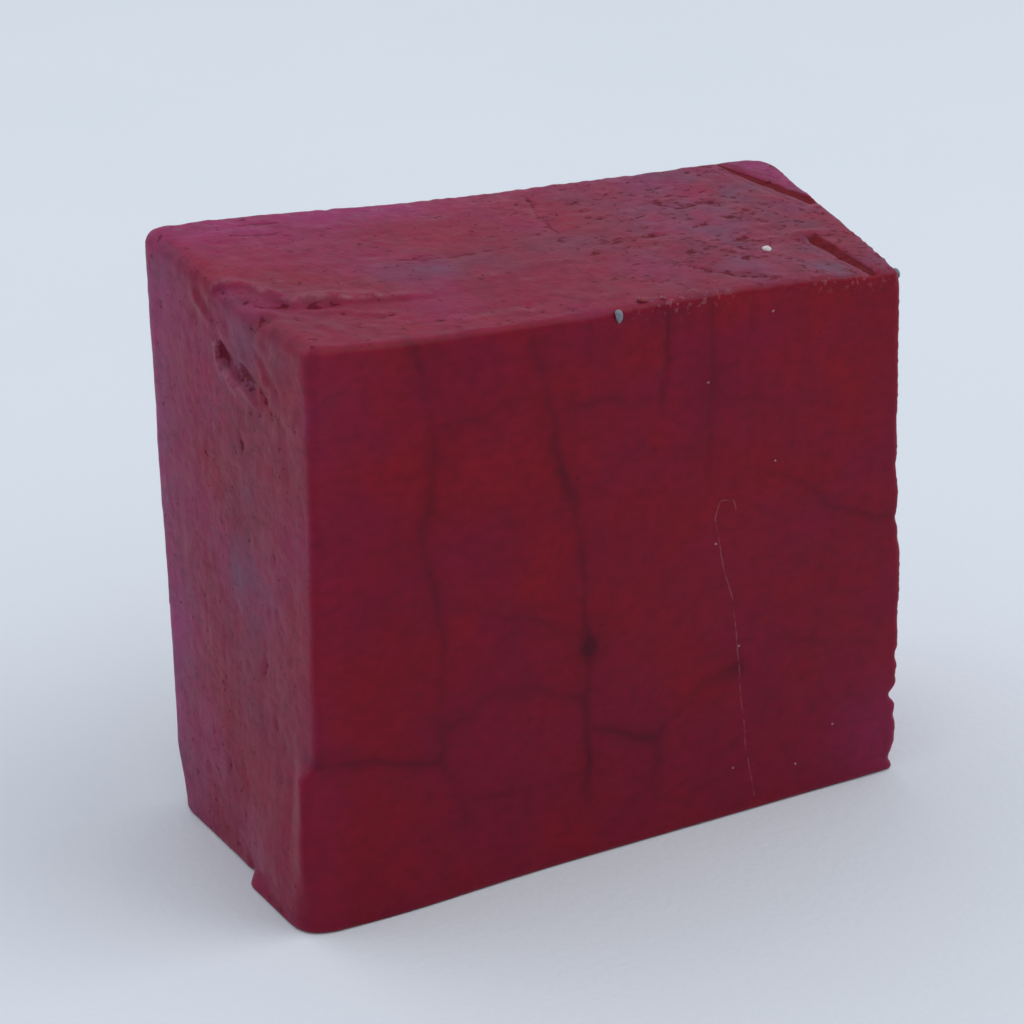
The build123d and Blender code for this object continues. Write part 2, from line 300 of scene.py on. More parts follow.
def toe_swell(place, share):
    """How far the foot of the front left corner stands out to the left, up to a sharp step in its edge."""
    step_low, step_high = 13.5, 15.0
    most = toe_out - 0.15
    forward, up = -place[:, 1], place[:, 2]
    near_edge = ramp(forward, 9.5, 12.8)
    belly = 0.9 * ramp(forward, -1, 9) * (1 - ramp(up, 2, 14)) * (1 - near_edge)
    corner = near_edge * 0.9 * (1 - ramp(up, step_low, step_high))
    foot = ramp(forward, 1.4, 4.0) * (1 - ramp(up, 0.1, 2.4)) * (1 - 0.1 * near_edge)
    return most * np.maximum(belly + corner, foot) * (1 - ramp(share, 0, 0.08))


def facing(outward):
    """How squarely each place of the skin looks out of each side, from 0 to 1."""
    return {side: ramp(sign * outward[:, axis], 0.2, 0.8) for side, (axis, sign) in side_axis.items()}


def flat_views(place):
    """The two coordinates that matter on each side: (x, y) on the top, (y, z) on the ends, (x, z) else."""
    top, end, face = place[:, :2], place[:, 1:], place[:, ::2]
    return {"top": top, "left": end, "right": end, "front": face, "back": face}


def signed(away, side):
    """A distance that is positive on the left of a path and negative on its right."""
    return away * np.where(side > 0, 1, -1)


def cut_marks(place, on):
    """The marks of the cut: long waves, lines lengthways on the top and upright ones on the other sides."""
    rough = 1 - 0.75 * on["front"]
    rise = 0.10 * lumps(place, 11, 1) + 0.06 * rough * lumps(place, 3.6, 2)
    rise += 0.035 * on["top"] * lumps(place, 0.9, 3, (8, 1.1, 1.1)) * (1 + lumps(place, 6, 30))
    rise += 0.03 * (rough - on["top"]) * lumps(place, 1.0, 4, (1, 1, 7)) * (1 + lumps(place, 6, 31))
    return rise + 0.025 * rough * lumps(place, 0.9, 5)


def smeared(place, on, drift):
    """The lip on the top, what slid down from it to the front left corner, and the folds below it, with the
    painted shade under the lip and beside the folds.
    """
    flat = flat_views(place)["top"]
    away, side, along = line_distance(flat + 0.35 * drift, smear_lip)
    below = np.where(side < 0, away, 0)
    near_corner = bell(np.hypot(place[:, 0] + 25, place[:, 1] + 7.5), 9)
    fading = 1 - ramp(along, 0.6, 1.0)
    gap = signed(away, side)
    nearness = np.where((on["top"] > 0.3) & (along < 0.97), away + 1 - fading, gap_limit)
    crest = np.where(side < 0, bell(away, 0.25), bell(away, 0.8)) * fading
    undercut = bell(below - 0.7, 0.35) * (side < 0) * ramp(lumps(place, 1.9, 6), 0.0, 0.35) * fading
    rise = (0.22 + 0.3 * lumps(place, 1.6, 37)) * crest - 0.25 * undercut
    rise -= 0.4 * ramp(below, 0.0, 0.7) * near_corner * (1 - 0.75 * ramp(below, 1.0, 5.5))
    # painted shade under the lip, and below each fold further on
    pit_shade = 0.6 * undercut
    for path, height in top_folds:
        away, side, along = line_distance(flat + 0.4 * drift, path)
        ends = ramp(along, 0, 0.2) * (1 - ramp(along, 0.7, 1))
        rise += height * np.where(side < 0, bell(away, 0.3), bell(away, 0.9)) * ends
        pit_shade += 0.3 * bell(away - 0.5, 0.35) * (side < 0) * ends
    return on["top"] * rise, on["top"] * pit_shade, gap, nearness


def thumbed(place):
    """Where the thumb folded the clay over the upper left edge; gives that place, the relief and the painted
    shade in its hollows.
    """
    kneaded = bell(np.hypot(place[:, 1] + 5.5, (place[:, 2] - 46) / 1.1), 6.5)
    kneaded = kneaded * bell(place[:, 0] - left, 6.5)
    crumpled = lumps(place + 1.2 * lumps(place, 3, 7)[:, None], 2.9, 8, (1, 1.1, 1.2))
    rise = kneaded * (0.34 * (0.35 - np.abs(crumpled)) + 0.10 * lumps(place, 1.3, 9))
    return kneaded, rise, 0.7 * kneaded * ramp(np.abs(crumpled), 0.3, 0.6)


def folded_end(place, on, drift, gap, nearness):
    """The folds on the left end, with the painted shade in the hollow below each. The one that stands out
    most also carries the painted highlight line of the lip.
    """
    flat = flat_views(place)["left"]
    rise = np.zeros(len(place))
    pit_shade = np.zeros(len(place))
    for path, height in left_folds:
        away, side, along = line_distance(flat + 0.3 * drift, path)
        ends = ramp(along, 0, 0.25) * (1 - ramp(along, 0.75, 1))
        hollow = bell(away - 0.7, 0.4) * (side < 0) * ends
        rise += height * np.where(side < 0, bell(away, 0.25), bell(away, 0.6)) * ends
        rise -= 0.7 * height * hollow
        pit_shade += 1.2 * height * hollow
        if height > 0.3:
            closer = (on["left"] > 0.5) & (away < nearness) & (along > 0.1) & (along < 0.9)
            gap = np.where(closer, signed(away, side), gap)
            nearness = np.where(closer, away, nearness)
    return on["left"] * rise, on["left"] * pit_shade, gap, nearness


def dented(place, on, drift):
    """The larger dents of the top and the left end, and the creases of the top and the front, with the
    painted shade in them.
    """
    flat = flat_views(place)
    rise = np.zeros(len(place))
    pit_shade = np.zeros(len(place))
    gap = np.full(len(place), gap_limit)
    nearness = np.full(len(place), gap_limit)
    for name, marks in (("top", top_marks), ("left", left_marks)):
        depth = on[name] * dents(flat[name] + 0.25 * drift, marks)
        rise -= 0.5 * depth
        pit_shade += 2.2 * depth
    for name, creases in (("top", top_creases), ("front", front_creases)):
        for path, width, depth in creases:
            away, side, along = line_distance(flat[name] + 0.25 * drift, path)
            cut = on[name] * depth * bell(away, width) * ramp(along, 0, 0.15) * (1 - ramp(along, 0.85, 1))
            rise -= 0.5 * cut
            pit_shade += 1.2 * cut
            closer = (on[name] > 0.5) & (away < nearness) & (along > 0.01) & (along < 0.99)
            gap = np.where(closer, signed(away, side), gap)
            nearness = np.where(closer, away, nearness)
    return rise, pit_shade, gap, nearness


def fine_pitting(place, on):
    """Fine pits strewn over the top, the ends and the back, with the painted shade in them, and the darker
    torn skin of the top's right half.
    """
    flat = flat_views(place)
    strew = np.random.default_rng(11)
    rise = np.zeros(len(place))
    pit_shade = 0.24 * on["top"] * ramp(place[:, 0], -8, 12) * (1 + 1.2 * lumps(place, 4, 38))
    for name, (count, (a_low, a_high), (b_low, b_high)) in strewn_pits.items():
        marks = []
        for _ in range(count):
            size = 0.16 + 0.24 * strew.random() ** 4
            a = a_low + (a_high - a_low) * strew.random()
            b = b_low + (b_high - b_low) * strew.random()
            stretch = 1.2 + 1.2 * strew.random()
            turn = (0 if name == "top" else 90) + 25 * (strew.random() - 0.5)
            marks.append((a, b, size * stretch, size, turn, 0.35 * size + 0.02))
        depth = on[name] * dents(flat[name], marks)
        rise -= 0.6 * depth
        pit_shade += 2.6 * depth
    return rise, pit_shade


def scoring(place, on, drift):
    """The two scored grooves, each widening to one end, with its steep wall on the right."""
    flat = flat_views(place)["top"]
    rise = np.zeros(len(place))
    scored = np.full(len(place), -gap_limit)
    nearness = np.zeros(len(place))
    for path, deep, widths in ((back_score, 0.3, (0.25, 0.95)), (front_score, 0.4, (0.95, 0.45))):
        away, side, along = line_distance(flat + 0.1 * drift, path)
        across = signed(away, side)
        ends = ramp(along, 0, 0.06)
        if path is back_score:
            ends = ramp(along, 0, 0.3) * (1 - ramp(along, 0.94, 1))
        width = np.interp(along, (0, 1), widths)
        rise -= on["top"] * deep * ramp(across, -1.9, 0) * (1 - ramp(across, 0.1, 0.9)) * ends
        scored = np.where(np.abs(across / width) < np.abs(scored), across / width, scored)
        nearness = np.maximum(nearness, on["top"] * ramp(ends, 0, 0.1) * (1 - ramp(away, 1.5, 2.2)))
    return rise, scored, nearness


def torn_rims(place, on):
    """The torn skin along the top's front edge on the right, down the right end and along the back."""
    torn = bell(place[:, 1] - front, 1.2) * on["top"]
    torn = torn * ramp(place[:, 0], 6, 15) * (1 - ramp(place[:, 0], 24.5, 27))
    end_rim = on["right"] * (on["top"] + on["front"])
    inward = ramp(place[:, 1] - front, 0.5, 3)
    rise = 0.2 * torn * lumps(place, 0.9, 12) - 0.08 * torn
    rise += 0.05 * end_rim * lumps(place, 2.3, 13) + 0.09 * end_rim * lumps(place, 0.45, 18)
    rise += on["right"] * inward * (0.08 * lumps(place, 3.0, 14) + 0.05 * lumps(place, 0.8, 15))
    rise += 0.09 * on["top"] * ramp(place[:, 1], 11, 13) * lumps(place, 0.8, 36)
    return rise - 0.1 * on["front"] * on["top"] * np.abs(lumps(place, 1.4, 16))


def stray(place, share):
    """Moves the edges that stray: the nicks on the right, the toe, the foot of the front and a notch."""
    near_front = place[:, 1] - front
    nick = sum(depth * bell(place[:, 2] - height, half) for height, depth, half in edge_nicks)
    place[:, 0] -= nick * ramp(share, 0.955, 0.99) * (0.3 + 0.7 * bell(near_front, 5))
    place[:, 0] += 0.25 * bell(place[:, 2] - 18, 9) * ramp(share, 0.8, 1) * bell(near_front, 9)
    place[:, 0] -= toe_swell(place, share)
    foot = 0.55 * bell(place[:, 0] + 20, 9) * (1 - ramp(place[:, 2], 0, 9)) * ramp(-place[:, 1], 8, 13)
    place[:, 1] -= foot
    notch = bell(place[:, 1] + 1.6, 0.6) * (1 - ramp(place[:, 2], 0.5, 2.2)) * (1 - ramp(share, 0, 0.05))
    place[:, 0] += 0.3 * notch


def fissure_stain(place, flat, on, drift):
    """How dark the closed fissures and the bruise are. Inside the clay they lean a little."""
    wander = np.column_stack([lumps(place, 2.6, 20), lumps(place, 2.6, 21)])
    depth_in = place[:, 1:2] - front
    lean = 0.12 * depth_in * np.column_stack([lumps(place, 9, 22), lumps(place, 9, 23)])
    seen = flat["front"] + lean * ramp(depth_in, 0, 4) + 0.5 * wander + 0.3 * drift
    swelling = 1 + 0.5 * lumps(place, 2.4, 24)
    veins = np.zeros(len(place))
    for path, width, darkness in fissures:
        away, _, _ = line_distance(seen, path)
        body = 0.7 * bell(away, 0.5 * width * swelling) + 0.35 * bell(away, 1.8 * width)
        veins = np.maximum(veins, darkness * body)
    faint = bell(lumps(place + 0.5 * wander[:, :1], 8, 32), 0.035) + bell(lumps(place, 5, 33), 0.03)
    veins = np.maximum(veins, 0.3 * faint * ramp(lumps(place, 7, 34), -0.1, 0.3))
    veins = veins * (0.78 + 0.8 * lumps(place, 4.5, 25))
    veins *= 1 - 0.6 * ramp(depth_in[:, 0], 0.5, 2) * (1 - on["back"])
    spot = np.hypot(*(flat["front"] - bruise).T)
    veins += on["front"] * (1.6 * bell(spot, 0.75) + 0.5 * bell(spot, 1.9))
    return veins, wander


def dust_and_sheen_amount(place, on, kneaded):
    """How thick the film of dust and grease from the fingers is, which is partly a painted sheen of the
    bright room on the top and the left end.
    """
    flat = flat_views(place)
    dust_and_sheen = 0.6 * kneaded + on["top"] * ramp(place[:, 0], -8, 22) * (0.9 + 1.2 * lumps(place, 5, 35))
    for name, (a, b), (wide, tall), strength in dust_and_sheen_patches:
        apart = np.hypot((flat[name][:, 0] - a) / wide, (flat[name][:, 1] - b) / tall)
        dust_and_sheen += strength * on[name] * bell(apart, 1)
    low_front = 0.5 * bell(place[:, 1] + 3, 5) * ramp(place[:, 2], 4, 24)
    dust_and_sheen += on["left"] * (low_front + 0.8 * ramp(place[:, 1], 4, 11))
    return dust_and_sheen * (0.7 + 0.8 * lumps(place, 2.5, 27))


def painted_glow(place, on):
    """A painted glow where the clay is thin and light shining through turns it pink: the rear edges, the
    corners and a few patches.
    """
    to_rear_left = np.hypot(place[:, 0] - left + 0.5, place[:, 1] - back)
    to_rear_top = np.hypot(place[:, 1] - back, place[:, 2] - soft_line(place[:, 0], back_top_line))
    to_right_foot = np.hypot(place[:, 0] - 28, place[:, 2] - 4)
    to_front_corner = np.hypot(place[:, 0] + 26, (place[:, 2] - 45) / 1.3)
    rear_left = (0.95 + 0.5 * lumps(place, 7, 40)) * bell(to_rear_left, 5.5)
    rear_top = 0.9 * bell(to_rear_top, 4.0) * (1 - 0.6 * ramp(place[:, 0], -10, 5))
    past_score = on["top"] * ramp(place[:, 0] - 0.28 * (13 - place[:, 1]), 24.6, 26.2)
    glow = np.maximum.reduce([rear_left, rear_top, past_score, 0.35 * bell(to_right_foot, 6)])
    glow += on["front"] * (0.12 * bell(to_front_corner, 5.5) + 0.1 * bell(place[:, 0] + 27, 2.4))
    return glow + 0.28 * (on["top"] + on["left"]) * ramp(lumps(place, 7, 39), -0.1, 0.4)


def worked(plain, outward, share):
    """Everything that cutting, smearing, scoring and handling did to the block; gives places, and stains
    together with the painted shade, sheen, glow and highlights.
    """
    on = facing(outward)
    drift = np.column_stack([lumps(plain, 1.7, 28), lumps(plain, 1.7, 29)])
    lip_rise, lip_shade, highlight_line_gap, to_line = smeared(plain, on, drift)
    kneaded, thumb_rise, thumb_shade = thumbed(plain)
    fold_rise, fold_shade, highlight_line_gap, to_line = folded_end(plain, on, drift, highlight_line_gap, to_line)
    dent_rise, dent_shade, crease_gap, to_crease = dented(plain, on, drift)
    pit_rise, fine_pit_shade = fine_pitting(plain, on)
    score_rise, scored, near_score = scoring(plain, on, drift)
    lip_end = bell(np.hypot((plain[:, 0] - 23.0) / 1.6, (plain[:, 1] + 4.0) / 0.5), 1)
    rise = cut_marks(plain, on) + lip_rise + thumb_rise + fold_rise + dent_rise + pit_rise
    rise += score_rise + on["top"] * 0.28 * lip_end + torn_rims(plain, on)
    rise = np.where(on["base"] > 0.3, 0, rise)

    moved = plain + outward * rise[:, None]
    stray(moved, share)
    flat = flat_views(moved)
    place = np.clip(moved, bar_low - (0, foot_out, 0), bar_high)

    veins, wander = fissure_stain(place, flat, on, drift)
    away, side, along = line_distance(flat["front"] + 0.12 * wander, pale_scratch)
    to_scratch = np.where((on["front"] > 0.5) & (along > 0.01) & (along < 0.99), away, gap_limit)
    top_edge = place[:, 2] - soft_line(place[:, 0], front_top_line) + 0.3
    flakes = bell(top_edge, 0.9) * bell(place[:, 1] - front, 1.2)
    flakes = flakes * (bell(place[:, 0] - 5.5, 4) + bell(place[:, 0] - 21.5, 4.5)) + 0.7 * lip_end
    # besides real marks, these carry painted light: the painted shade in pits, creases and hollows, the dust
    # that is partly a painted sheen, the painted glow through thin clay, the sides off the front that carry
    # wear and a painted sheen, and the line of the painted highlight
    marks_and_painted_light = {
        "vein": veins, "pit_shade_and_torn_skin": lip_shade + thumb_shade + fold_shade + dent_shade + fine_pit_shade,
        "dust_and_sheen": dust_and_sheen_amount(place, on, kneaded), "glow": painted_glow(place, on), "flake": flakes,
        "rubbed": 1 - on["front"], "near_highlight_line": bell(to_line, 0.6), "near_crease": bell(to_crease, 0.6),
        "near_score": near_score, "near_scratch": bell(to_scratch, 0.6),
    }
    gaps = {
        "scratch_gap": signed(away, side), "highlight_line_gap": highlight_line_gap, "crease_gap": crease_gap, "scored": scored,
    }
    marks_and_painted_light = {name: np.clip(value, 0, 1.6) for name, value in marks_and_painted_light.items()}
    gaps = {name: np.clip(value, -gap_limit, gap_limit) for name, value in gaps.items()}
    return place, {**marks_and_painted_light, **gaps}


def unwrap(mesh, unit):
    """Lays the six sides flat, side by side, as the map that the finish is baked on."""
    width, depth, height = 2 * half_size
    gap = 2.0
    sheet = 2 * width + 3 * gap
    places = {
        "front": (gap, gap), "back": (2 * gap + width, gap),
        "left": (gap, 2 * gap + height), "right": (2 * gap + depth, 2 * gap + height),
        "top": (2 * gap + width, 2 * gap + height), "base": (2 * gap + width, 3 * gap + height + depth),
    }
    corner = np.zeros(len(mesh.loops), int)
    mesh.loops.foreach_get("vertex_index", corner)
    spread = (unit[corner] + 1) * half_size
    flat = np.zeros((len(mesh.loops), 2))
    for face in mesh.polygons:
        loops = slice(face.loop_start, face.loop_start + face.loop_total)
        mid = unit[corner[loops]].mean(axis=0)
        axis = int(np.abs(mid).argmax())
        name = next(key for key, pair in side_axis.items() if pair == (axis, int(np.sign(mid[axis]))))
        across = [a for a in range(3) if a != axis]
        flat[loops] = spread[loops][:, across] + places[name]
    layer = mesh.uv_layers.new(name="OFBake")
    layer.data.foreach_set("uv", (flat / sheet).ravel())


skin = cut_skin()
unit = np.zeros(3 * len(skin.vertices))
skin.vertices.foreach_get("co", unit)
unit = unit.reshape(-1, 3)
unwrap(skin, unit)
plain = leaned(rounded(unit * half_size))
skin.vertices.foreach_set("co", plain.ravel())
skin.update()
outward = np.zeros(3 * len(skin.vertices))
skin.vertex_normals.foreach_get("vector", outward)
finished, marks_and_painted_light = worked(plain, outward.reshape(-1, 3), unit[:, 0] / 2 + 0.5)
skin.vertices.foreach_set("co", (finished * MM).ravel())
for name, value in marks_and_painted_light.items():
    skin.attributes.new(name, "FLOAT", "POINT").data.foreach_set("value", value.astype(np.float32))
skin.polygons.foreach_set("use_smooth", np.ones(len(skin.polygons), bool))
skin.update()
clay_bar = bpy.data.objects.new("clay_block", skin)
bpy.context.scene.collection.objects.link(clay_bar)


class Value:
    """A number inside a finish. Arithmetic on it adds the Math nodes that work it out."""

    def __init__(self, finish, socket):
        self.finish = finish
        self.socket = socket

    def math(self, operation, *others):
        inputs = {0: self, **{place + 1: other for place, other in enumerate(others)}}
        return self.finish.add("ShaderNodeMath", {"operation": operation}, inputs)

    def __add__(self, other):
        return self.math("ADD", other)

    def __mul__(self, other):
        return self.math("MULTIPLY", other)

    def __sub__(self, other):
        return self.math("SUBTRACT", other)

    def __rsub__(self, other):
        return (self * -1) + other

    __radd__ = __add__
    __rmul__ = __mul__

    def clamped(self):
        return self.math("MINIMUM", 1).math("MAXIMUM", 0)

    def between(self, low, high):
        """0 at low, 1 at high and straight between them."""
        inputs = {"Value": self, "From Min": low, "From Max": high}
        return self.finish.add("ShaderNodeMapRange", {"clamp": True}, inputs)


class Finish:
    """A material under construction, with its one shader."""

    def __init__(self, name, **fixed):
        self.material = bpy.data.materials.new(name)
        self.material.use_nodes = True
        self.tree = self.material.node_tree
        self.shader = self.tree.nodes["Principled BSDF"]
        for key, value in fixed.items():
            self.shader.inputs[key.replace("_", " ")].default_value = value
        coordinates = self.tree.nodes.new("ShaderNodeTexCoord")
        self.place = Value(self, coordinates.outputs["Object"])

    def add(self, kind, settings=None, inputs=None, output=0):
        """Adds any node: its settings first, then the values or links of its sockets."""
        node = self.tree.nodes.new(kind)
        for key, value in (settings or {}).items():
            setattr(node, key, value)
        for key, value in (inputs or {}).items():
            if isinstance(value, Value):
                self.tree.links.new(value.socket, node.inputs[key])
            else:
                node.inputs[key].default_value = value
        return Value(self, node.outputs[output])

    def read_attribute(self, name):
        return self.add("ShaderNodeAttribute", {"attribute_name": name}, output="Fac")

    def cloud(self, size, detail=2.0, stretch=(1, 1, 1), shift=0.0):
        """Soft random values of 0..1 with lumps of that size in millimetres, drawn out by stretch."""
        pull = [1 / part for part in stretch]
        moved = {"Vector": self.place, "Location": (shift, shift, shift), "Scale": pull}
        place = self.add("ShaderNodeMapping", None, moved)
        inputs = {"Vector": place, "Scale": 1 / (size * MM), "Detail": detail, "Roughness": 0.55}
        return self.add("ShaderNodeTexNoise", None, inputs)

    def line(self, gap, near, far, close):
        """A fine line where a stored distance is 0: full within close of it, gone at far, in millimetres."""
        return self.read_attribute(gap).math("ABSOLUTE").between(far, close) * self.read_attribute(near).between(0.1, 0.4)

    def mix(self, share, one, other):
        """One colour going over to the other."""
        one, other = (c if isinstance(c, Value) else (*c, 1) for c in (one, other))
        return self.add("ShaderNodeMix", {"data_type": "RGBA"}, {0: share, 6: one, 7: other}, output=2)

    def height(self):
        return self.add("ShaderNodeSeparateXYZ", None, {0: self.place}, output=2)

    def set(self, socket, value):
        self.tree.links.new(value.socket, self.shader.inputs[socket])

    def bump(self, height, depth):
        """Fine relief of the given depth in millimetres."""
        inputs = {"Height": height, "Distance": depth * MM}
        self.set("Normal", self.add("ShaderNodeBump", None, inputs, output="Normal"))


# Painted light among these colours: the dark reds laid low down and in the pits, creases, hollows and grooves
# are painted shade, with the darker torn skin; the pink one is a painted glow of light through thin clay; the
# pale purple one is a painted sheen on all sides but the front; the grey film is dust and partly a painted
# sheen; the pale one is partly a painted highlight on the crests
clay_colours = {
    "warm": (0.25, 0.0055, 0.014), "cool": (0.215, 0.0058, 0.028), "deep": (0.145, 0.0045, 0.017),
    "low": (0.13, 0.0045, 0.02), "glow": (0.31, 0.03, 0.16), "fissure": (0.03, 0.003, 0.011),
    "rubbed": (0.42, 0.05, 0.17), "dust_and_sheen": (0.15, 0.08, 0.13), "torn": (0.125, 0.001, 0.005),
    "groove": (0.16, 0.001, 0.006), "dot": (0.06, 0.003, 0.010), "pale": (0.40, 0.20, 0.25),
}


def clay_finish():
    """Translucent wine-red clay: warm and cool blotches, dark closed fissures, painted shade low down and in
    its torn pits, a dusty film partly painted as sheen, a painted sheen off the front, a painted glow at thin
    edges and painted highlights on crests.
    """
    clay = Finish("wine_red_clay", IOR=1.21, Subsurface_Weight=0.5, Subsurface_Scale=0.002)
    clay.shader.inputs["Subsurface Radius"].default_value = (1.0, 0.2, 0.35)
    rubbed = clay.read_attribute("rubbed")
    colour = clay_colours

    # where the skin is torn, scored or worn through, and where painted shade darkens the pits, creases and
    # grooves
    grain = clay.cloud(0.55, 4, stretch=(1.4, 1, 1), shift=0.8)
    clumps = clay.cloud(5, 2, shift=0.15).between(0.4, 0.6)
    holes = (grain + clumps * 0.04).between(0.675, 0.72) * rubbed
    pit_shade_and_torn_skin = (clay.read_attribute("pit_shade_and_torn_skin") * 1.3 + (grain - 0.5) * 3.4).between(0.62, 0.95)
    crease = clay.line("crease_gap", "near_crease", 0.2, 0.05) * clay.cloud(1.1, 3).between(0.38, 0.55)
    torn = (pit_shade_and_torn_skin + holes + crease * (rubbed * 0.5 + 0.15)).clamped()
    scored = clay.read_attribute("scored")
    near_score = clay.read_attribute("near_score")
    groove = scored.between(-0.08, 0.1) * scored.between(1.15, 0.85) * near_score
    ledge = scored.between(-0.7, -0.3) * scored.between(-0.02, -0.2) * near_score

    # the body of the clay, seen from inside outwards: blotches, depth, painted shade low down, a painted glow
    # where light shines through thin clay, fissures
    plain = clay.mix(clay.cloud(8, 3).between(0.36, 0.64), colour["warm"], colour["cool"])
    thick = clay.cloud(3.0, 3, shift=0.3).between(0.3, 0.72)
    deep = clay.mix(thick * 0.35, plain, colour["deep"])
    # painted shade: darker towards the base, as the light falls from above
    low = clay.mix(clay.height().between(0.046, 0.004) * 0.35, deep, colour["low"])
    # painted glow: light shining through the thin rear edges and corners turns them pink
    glowing = clay.mix((clay.read_attribute("glow") * 0.6).clamped(), low, colour["glow"])
    veined = clay.mix((clay.read_attribute("vein") * 0.46).clamped(), glowing, colour["fissure"])

    # what lies on it: a painted sheen on all sides but the front, the dusty film that is partly painted
    # sheen, painted shade in the pits, creases, hollows and grooves with the darker torn skin, and dark dots
    dust_and_sheen_share = clay.read_attribute("dust_and_sheen") * (0.25 + clay.cloud(0.7, 4, shift=0.35) * 0.4)
    # painted sheen: all sides but the front are made paler and more purple, in place of the reflection of the
    # bright room
    with_painted_sheen = clay.mix(rubbed * 0.16, veined, colour["rubbed"])
    # the grey film: dust, and partly a painted sheen of the bright room on the top and the left end
    with_dust_and_sheen = clay.mix(dust_and_sheen_share.clamped(), with_painted_sheen, colour["dust_and_sheen"])
    # painted shade in the pits, fine holes, creases, fold hollows and under the lip, together with the darker
    # torn skin of the top
    with_pit_shade = clay.mix(torn * 0.8, with_dust_and_sheen, colour["torn"])
    # painted shade: the floor of each scored groove darkened
    with_groove_shade = clay.mix(groove * 0.95, with_pit_shade, colour["groove"])
    dots = clay.cloud(0.8, 5, stretch=(1.6, 1.6, 1), shift=0.7).between(0.42, 0.85)
    speckled = clay.mix(dots * 0.42, with_groove_shade, colour["dot"])

    # a painted highlight along the crest of the lip and the biggest fold of the left end, the pale scratch,
    # the flakes on the rim and the ledge beside each groove
    patches = clay.cloud(1.4, 3, shift=0.5)
    # painted highlight along the crest of the lip and the biggest fold
    crest = clay.line("highlight_line_gap", "near_highlight_line", 0.38, 0.05) * patches.between(0.4, 0.62)
    hair = clay.line("scratch_gap", "near_scratch", 0.09, 0.02) * clay.cloud(0.8, 3).between(0.4, 0.62)
    flake = clay.read_attribute("flake") * clay.cloud(0.5, 3, shift=0.9).between(0.56, 0.63)
    pale = (crest * 0.42 + hair * 0.24 + flake * 0.3 + ledge * 0.25).clamped()
    clay.set("Base Color", clay.mix(pale, speckled, colour["pale"]))

    streak = clay.cloud(0.4, 3, stretch=(9, 1, 1), shift=0.2)
    upright = clay.cloud(0.45, 3, stretch=(1, 1, 7), shift=0.4)
    gloss = clay.cloud(2.2, 4) * 0.4 + clay.cloud(0.5, 3, shift=0.6) * 0.2
    clay.set("Roughness", (gloss + 0.1 + clay.read_attribute("dust_and_sheen") * 0.1 + torn * 0.1).clamped())
    ripple = clay.cloud(1.3, 5, shift=0.1)
    relief = (upright * 0.12 - torn * 1.0 + ripple * 0.8) * rubbed + streak * 0.12 + ripple * 0.3
    clay.bump(relief + pale * 0.5 - groove * 1.2, 0.09)
    return clay.material


skin.materials.append(clay_finish())
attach(clay_bar, "root")
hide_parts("clay_bar")

# --- Grains pressed into the clay -------------------------------------------------------------
# Sand grains that the bar has picked up: one opaque white, one clear grey splinter under the
# front edge, one grey grain on the right end, and a dark one that the clay has closed over.


def broken_grain(name, low, high, seed, facets=9, point=0.0):
    """A broken grain that fills a box: a ball with flat faces struck off it, drawn to a point below."""
    shape = bmesh.new()
    bmesh.ops.create_icosphere(shape, subdivisions=3, radius=1)
    strike = np.random.default_rng(seed)
    for _ in range(facets):
        direction = Vector(strike.normal(size=3)).normalized()
        cut = bmesh.ops.bisect_plane(shape, geom=shape.verts[:] + shape.edges[:] + shape.faces[:],
                                     plane_co=direction * (0.6 + 0.2 * strike.random()), plane_no=direction,
                                     clear_outer=True)
        rim = [item for item in cut["geom_cut"] if isinstance(item, bmesh.types.BMEdge)]
        bmesh.ops.contextual_create(shape, geom=rim)
    bmesh.ops.dissolve_limit(shape, angle_limit=math.radians(7), verts=shape.verts, edges=shape.edges)
    bmesh.ops.bevel(shape, geom=shape.edges[:], offset=0.05, affect="EDGES", segments=2, profile=0.5,
                    material=-1)
    bmesh.ops.triangulate(shape, faces=shape.faces)
    size = [max(v.co[a] for v in shape.verts) - min(v.co[a] for v in shape.verts) for a in range(3)]
    start = [min(v.co[a] for v in shape.verts) for a in range(3)]
    for vertex in shape.verts:
        share = [(vertex.co[a] - start[a]) / size[a] for a in range(3)]
        share[0] = 0.5 + (share[0] - 0.5) * (1 - point * (1 - share[2]))
        vertex.co = [low[a] + share[a] * (high[a] - low[a]) for a in range(3)]
    bmesh.ops.recalc_face_normals(shape, faces=shape.faces)
    mesh = bpy.data.meshes.new(name)
    shape.to_mesh(mesh)
    shape.free()
    grain = bpy.data.objects.new(name, mesh)
    bpy.context.scene.collection.objects.link(grain)
    return grain


def grain_finish(name, light, dark, size, **fixed):
    """Stone with a clouded colour and a finely pitted skin."""
    stone = Finish(name, **fixed)
    stone.set("Base Color", stone.mix(stone.cloud(size, 4).between(0.3, 0.7), light, dark))
    stone.set("Roughness", stone.cloud(size * 0.6, 3, shift=0.5) * 0.3 + 0.15)
    stone.bump(stone.cloud(size * 0.3, 3, shift=0.9), 0.02)
    return stone.material


